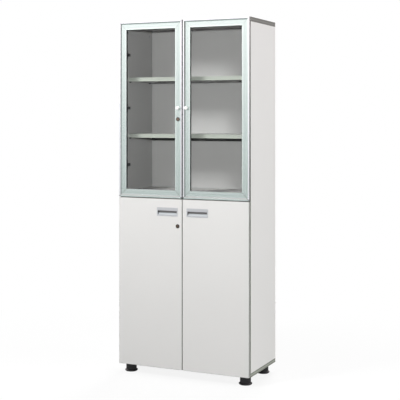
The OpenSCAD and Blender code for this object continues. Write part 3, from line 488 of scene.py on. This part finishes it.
def trim_finish():
    """Grooved trim: dark on the edges of the boards, pale on the recessed shelf fronts; the top board's trim
    is a darker copy, painted shade, and the low board's a lighter copy, painted light.
    """
    made = Finish("grooved_trim")
    skin = made.effect(PEARL, Grain_Scale=900.0, Gloss_Low=0.4, Gloss_High=0.55)
    place = made.axes(made.place)
    height = place["Z"]
    high_board = made.math("GREATER_THAN", height, INNER_TOP - NEAR_BOARD)
    low_board = made.math("LESS_THAN", height, INNER_FLOOR + NEAR_BOARD)
    # Painted shade on the top board's trim, painted light on the low board's.
    dark = made.blend(high_board, LOW_TRIM_DARK, TOP_TRIM_DARK)
    light = made.blend(high_board, LOW_TRIM_LIGHT, TOP_TRIM_LIGHT)
    middle = made.math("SUBTRACT", TOP_BOARD_MID, made.product(low_board, TOP_BOARD_MID - LOW_BOARD_MID))
    from_middle = made.absolute(made.math("SUBTRACT", height, middle))
    stripe = made.span(from_middle, *STRIPE_FADES, *STRIPE_SHARES)
    grain = made.product(made.span(skin["Height"], *NOISE_MIDDLE), TRIM_GRAIN)
    edge = made.blend(made.math("MAXIMUM", stripe, grain), dark, light)
    shelf = made.blend(grain, SHELF_TRIM, SHELF_TRIM_LINE)
    for underside in (LOW_SHELF_UNDERSIDE, HIGH_SHELF_UNDERSIDE):
        from_underside = made.absolute(made.math("SUBTRACT", height, underside))
        pale = made.span(from_underside, *SHELF_EDGE_FADES, SHELF_EDGE_SHARE, 0.0)
        shelf = made.blend(pale, shelf, SHELF_TRIM_EDGE)
    recessed = made.math("GREATER_THAN", place["Y"], SHELF_TRIM_DEPTH)
    between = made.opposite(made.math("MAXIMUM", high_board, low_board))
    tone = made.blend(made.product(between, recessed), edge, shelf)
    made.bump(skin["Height"], depth=0.00005)
    made.use(tone, skin["Roughness"])


def pane_finish():
    """Clear float glass. Lamps reach the shelves through it, dimmed a little."""
    made = Finish("float_glass", Transmission_Weight=1.0, IOR=PANE_IOR, Base_Color=PANE_TINT)
    smear = made.noise(made.place, SMEAR_SCALE, detail=4.0, rough=0.6)
    made.feed(made.shader.inputs["Roughness"], made.span(smear, *SMEAR_STARTS, 0.0, PANE_SMEARS))
    rays = made.add("ShaderNodeLightPath").outputs
    lets_through = made.math("MAXIMUM", rays["Is Shadow Ray"], rays["Is Diffuse Ray"])
    made.feed(made.shader.inputs["Alpha"], made.span(lets_through, 0.0, 1.0, 1.0, PANE_DIMMING))


def board_finish():
    """White melamine-faced board; painted shade (grey) on the faces that line the carcass, which pass little
    light on.
    """
    made = Finish("melamine_white")
    inside = made.effect(INNER)["Inside"]
    skin = made.effect(PEARL, Colour=made.blend(inside, BOARD_WHITE, INNER_PAINTED_SHADE), Speck=0.15,
                       Speck_Colour=made.blend(inside, BOARD_SPECK, INNER_PAINTED_SHADE), Grain_Scale=620.0,
                       Gloss_Low=0.38, Gloss_High=0.52)
    made.bump(skin["Height"], depth=0.00006)
    dusty = made.effect(DUST, Colour=skin["Colour"], Amount=0.12)["Colour"]
    # Inside faces that look up keep the outer white: painted light against the painted shade of the walls.
    inner_floor = made.product(inside, made.span(made.axes(made.turned)["Z"], *INNER_FLOOR_FACING))
    tone = made.blend(inner_floor, dusty, BOARD_WHITE)

    place = made.axes(made.place)
    # Painted shadow of the lower shelf on the back board.
    below_shelf = made.math("SUBTRACT", LOW_SHELF_UNDERSIDE, place["Z"])
    shaded = made.product(inside, made.span(below_shelf, *SHADE_FADES, 1.0, 0.0),
                          made.math("GREATER_THAN", below_shelf, -SHADE_ABOVE),
                          made.math("GREATER_THAN", place["Y"], INNER_BACK - SHADE_BEFORE))
    tone = made.blend(shaded, tone, SHELF_SHADE)
    # For bounce light the inside faces turn darker still: painted shade on the light they pass on.
    passed_on = made.product(inside, made.add("ShaderNodeLightPath").outputs["Is Diffuse Ray"])
    made.use(made.blend(passed_on, tone, INNER_SHADE), skin["Roughness"])


def edging_finish():
    """Grey edge band of the lower doors, with painted shade along the top edge, below the gap between the
    doors.
    """
    made = Finish("edge_band")
    below_top = made.math("SUBTRACT", LOWER_DOOR_TOP, made.axes(made.place)["Z"])
    # Painted shade along the top edge.
    top = made.span(below_top, *EDGING_SHADE_FADES, 1.0, 0.0)
    skin = made.effect(PEARL, Colour=made.blend(top, EDGING_GREY, EDGING_TOP_SHADE), Speck_Colour=EDGING_TOP_SHADE,
                       Speck=0.1, Grain_Scale=900.0, Gloss_Low=0.4, Gloss_High=0.5)
    made.bump(skin["Height"], depth=0.00004)
    made.use(skin["Colour"], skin["Roughness"])


def pull_finish():
    """Silver plate; in its pocket painted shade: the face that looks up is duller, the end faces and the slit
    are dark.
    """
    made = Finish("pull_silver", Metallic=0.6)
    drawn = made.effect(DRAWN, Colour=PULL_SILVER, Line_Colour=PULL_LINE, Stretch=(5, 900, 900),
                        Lines=0.2, Gloss_Low=0.32, Gloss_High=0.46)
    depth = made.math("SUBTRACT", made.axes(made.place)["Y"], PULL_FRONT)
    facing = made.axes(made.turned)
    pocket = made.span(depth, *POCKET_STARTS)
    scoop = made.product(pocket, made.span(facing["Z"], *SCOOP_FACING))
    ends = made.product(pocket, made.span(made.absolute(facing["X"]), *POCKET_END_FACING))
    deep = made.span(depth, *SLIT_STARTS)
    # Painted shade: duller scoop, dark end faces, dark slit.
    tone = made.blend(scoop, drawn["Colour"], PULL_SCOOP_SHADE)
    tone = made.blend(deep, made.blend(ends, tone, PULL_ENDS_SHADE), PULL_SHADE)
    made.bump(drawn["Height"], depth=0.00003)
    made.use(tone, drawn["Roughness"])


board_finish()
trim_finish()
edging_finish()
frame_finish("frame_upright", stretch=(2400, 2400, 3))
frame_finish("frame_level", stretch=(3, 2400, 2400))
pane_finish()
pull_finish()
# The middle rail's front is painted dark as shade in the gap between the doors.
pearl_finish("rail_painted_shade", RAIL_PAINTED_SHADE, RAIL_SPECK, grain=700.0, gloss=(0.5, 0.62), depth=0.00005)
pearl_finish("channel_rubber", RUBBER_BLACK, RUBBER_SPECK, grain=1200.0, gloss=(0.6, 0.75),
             depth=0.0001)
pearl_finish("knob_gloss", KNOB_WHITE, KNOB_SPECK, grain=500.0, gloss=(0.16, 0.24), depth=0.00002,
             Coat_Weight=0.3)
pearl_finish("foot_moulding", FOOT_BLACK, FOOT_SPECK, grain=800.0, gloss=(0.35, 0.5), depth=0.00008,
             dust=0.1)
drawn_finish("lock_head", LOCK_HEAD, LOCK_HEAD_LINE, stretch=(700, 700, 700), lines=0.15,
             gloss=(0.14, 0.22), depth=0.00001, Metallic=1.0)
drawn_finish("lock_plug", LOCK_PLUG, LOCK_PLUG_LINE, stretch=(700, 700, 700), lines=0.15,
             gloss=(0.18, 0.28), depth=0.00001, Metallic=1.0)
# Nickel darkened as painted shade.
drawn_finish("nickel_painted_shade", NICKEL_PAINTED_SHADE, NICKEL_PAINTED_SHADE_LINE, stretch=(900, 60, 900), lines=0.3,
             gloss=(0.35, 0.5), depth=0.00003, Metallic=0.3)
drawn_finish("nickel_steel", NICKEL, NICKEL_LINE, stretch=(60, 900, 900), lines=0.35,
             gloss=(0.26, 0.42), depth=0.00003, Metallic=0.9)

# Which finish each kind of piece wears. The first word that a node's name holds decides.
WEARS = (
    ("edge_trim", "grooved_trim"), ("door_edging", "edge_band"), ("middle_rail", "rail_painted_shade"),
    ("_rail", "frame_level"), ("_stile", "frame_upright"), ("corner_keys", "nickel_steel"),
    ("glass", "float_glass"), ("gasket", "channel_rubber"), ("knob", "knob_gloss"), ("pull", "pull_silver"),
    ("lock_cam", "nickel_steel"), ("lock_plug", "lock_plug"), ("lock", "lock_head"), ("bolt", "nickel_steel"),
    # Hinge arms, hinge plates and shelf pins wear nickel darkened as painted shade.
    ("hinge_arms", "nickel_painted_shade"), ("hinge_plates", "nickel_painted_shade"), ("hinge", "nickel_steel"),
    ("cam_fasteners", "nickel_steel"), ("shelf_pins", "nickel_painted_shade"), ("foot", "foot_moulding"),
    ("shelf", "melamine_white"), ("board", "melamine_white"), ("door", "melamine_white"),
)

for node_name, node_object in NODES.items():
    worn = next(finish for word, finish in WEARS if word in node_name)
    node_object.data.materials.clear()
    node_object.data.materials.append(FINISHES[worn])


# Studio: pale floor, faint sky, and lamps at the camera, at the left, at the right and behind.
AMBIENT_UP = 0.06
AMBIENT_DOWN = 0.02
AMBIENT_RISE = (-0.3, 0.5)
FLOOR_REACH = 30.0
FLOOR_FADE = (0.6, 2.2)
WHITE = (1.0, 1.0, 1.0)
FLOOR_BOUNCE = (0.25, 0.25, 0.25)
FLOOR_SEEN = (0.95, 0.95, 0.95)
FLOOR_GLOW = 0.86
FLOOR_MIRRORED = 0.44
ROOM_HIGH_TINT = (1.140, 1.000, 1.020)
ROOM_LOW_RISE, ROOM_HIGH_RISE = -0.02, 0.16
ROOM_LOW, ROOM_HIGH = 0.70, 1.92


def seen_directly(net):
    """1 for rays from the camera, off metal or through glass, which show the white backdrop itself."""
    rays = net.add("ShaderNodeLightPath").outputs
    return net.math("MAXIMUM", rays["Is Camera Ray"],
                    net.math("MAXIMUM", rays["Is Glossy Ray"], rays["Is Transmission Ray"]))


def studio_floor():
    """Pale floor that keeps the cabinet's shadow and goes over to white further out."""
    mesh = bpy.data.meshes.new("studio_floor")
    corners = [(FLOOR_REACH * x, FLOOR_REACH * y, 0) for x, y in ((-1, -1), (1, -1), (1, 1), (-1, 1))]
    mesh.from_pydata(corners, [], [(0, 1, 2, 3)])
    floor = bpy.data.objects.new("studio_floor", mesh)
    bpy.context.scene.collection.objects.link(floor)
    material = bpy.data.materials.new("studio_floor")
    material.use_nodes = True
    net = Net(material.node_tree)
    net.tree.nodes.clear()
    seen = seen_directly(net)
    paint = net.add("ShaderNodeBsdfDiffuse")
    net.feed(paint.inputs["Color"], net.blend(seen, FLOOR_BOUNCE, FLOOR_SEEN))
    glow = net.add("ShaderNodeEmission")
    net.feed(glow.inputs["Color"], WHITE)
    mirrored = net.add("ShaderNodeLightPath").outputs["Is Glossy Ray"]
    net.feed(glow.inputs["Strength"], net.span(mirrored, 0.0, 1.0, 1.0, FLOOR_MIRRORED))
    mix = net.add("ShaderNodeMixShader")
    away = net.add("ShaderNodeVectorMath", operation="LENGTH")
    net.feed(away.inputs[0], net.add("ShaderNodeTexCoord").outputs["Object"])
    glowing = net.product(seen, net.span(away.outputs["Value"], *FLOOR_FADE, FLOOR_GLOW, 1.0))
    net.feed(mix.inputs[0], glowing)
    net.feed(mix.inputs[1], paint.outputs[0])
    net.feed(mix.inputs[2], glow.outputs[0])
    net.feed(net.add("ShaderNodeOutputMaterial").inputs["Surface"], mix.outputs[0])
    mesh.materials.append(material)


def studio_sky():
    """White backdrop; a room that grows brighter upwards, for the metal; a little light from above."""
    world = bpy.data.worlds.new("studio_sky")
    bpy.context.scene.world = world
    world.use_nodes = True
    net = Net(world.node_tree)
    net.tree.nodes.clear()
    rays = net.add("ShaderNodeLightPath").outputs
    rise = net.axes(net.add("ShaderNodeTexCoord").outputs["Generated"])["Z"]
    share = net.span(rise, ROOM_LOW_RISE, ROOM_HIGH_RISE)
    room = net.math("ADD", net.product(share, ROOM_HIGH - ROOM_LOW), ROOM_LOW)
    back = net.math("MAXIMUM", rays["Is Camera Ray"], rays["Is Transmission Ray"])
    bright = net.math("MAXIMUM", back, net.product(rays["Is Glossy Ray"], room))
    hidden = net.opposite(seen_directly(net))
    ambient = net.product(hidden, net.span(rise, *AMBIENT_RISE, AMBIENT_DOWN, AMBIENT_UP))
    sky = net.add("ShaderNodeBackground")
    tint = net.blend(net.product(share, rays["Is Glossy Ray"]), WHITE, ROOM_HIGH_TINT)
    net.feed(sky.inputs["Color"], tint)
    net.feed(sky.inputs["Strength"], net.math("ADD", bright, ambient))
    net.feed(net.add("ShaderNodeOutputWorld").inputs["Surface"], sky.outputs[0])


def lamp(name, place, aim_height, size, power):
    """Round lamp that lights the cabinet and doesn't show itself."""
    data = bpy.data.lights.new(name, "AREA")
    data.shape = "DISK"
    data.size = size
    data.energy = power
    made = bpy.data.objects.new(name, data)
    bpy.context.scene.collection.objects.link(made)
    made.location = place
    made.rotation_mode = "QUATERNION"
    made.rotation_quaternion = (Vector((0.0, 0.0, aim_height)) - Vector(place)).to_track_quat("-Z", "Y")
    made.visible_glossy = False
    made.visible_transmission = False
    made.visible_camera = False


def camera():
    """The photograph's view."""
    data = bpy.data.cameras.new("photo_camera")
    data.lens = CAMERA_LENS
    data.sensor_width = 36.0
    data.shift_y = CAMERA_SHIFT
    data.clip_start, data.clip_end = 0.1, 100.0
    made = bpy.data.objects.new("photo_camera", data)
    bpy.context.scene.collection.objects.link(made)
    made.location = CAMERA_PLACE
    made.rotation_euler = (math.pi / 2 - CAMERA_TILT, 0.0, CAMERA_TURN)
    bpy.context.scene.camera = made


# Each lamp: name, place, height on the cabinet's axis that it aims at, diameter and power.
LAMPS = (
    ("camera_lamp", (*CAMERA_PLACE[:2], 1.75), 1.0, 0.12, 168.0),
    ("key_lamp", (-1.32, -2.39, 3.24), 1.2, 0.95, 88.0),
    ("side_lamp", (5.0, 0.17, 1.10), 0.95, 2.2, 142.0),
    ("back_lamp", (-0.30, 3.60, 4.20), 1.3, 1.8, 170.0),
)

studio_floor()
studio_sky()
for lamp_row in LAMPS:
    lamp(*lamp_row)
camera()
bpy.context.scene.view_settings.view_transform = "Standard"
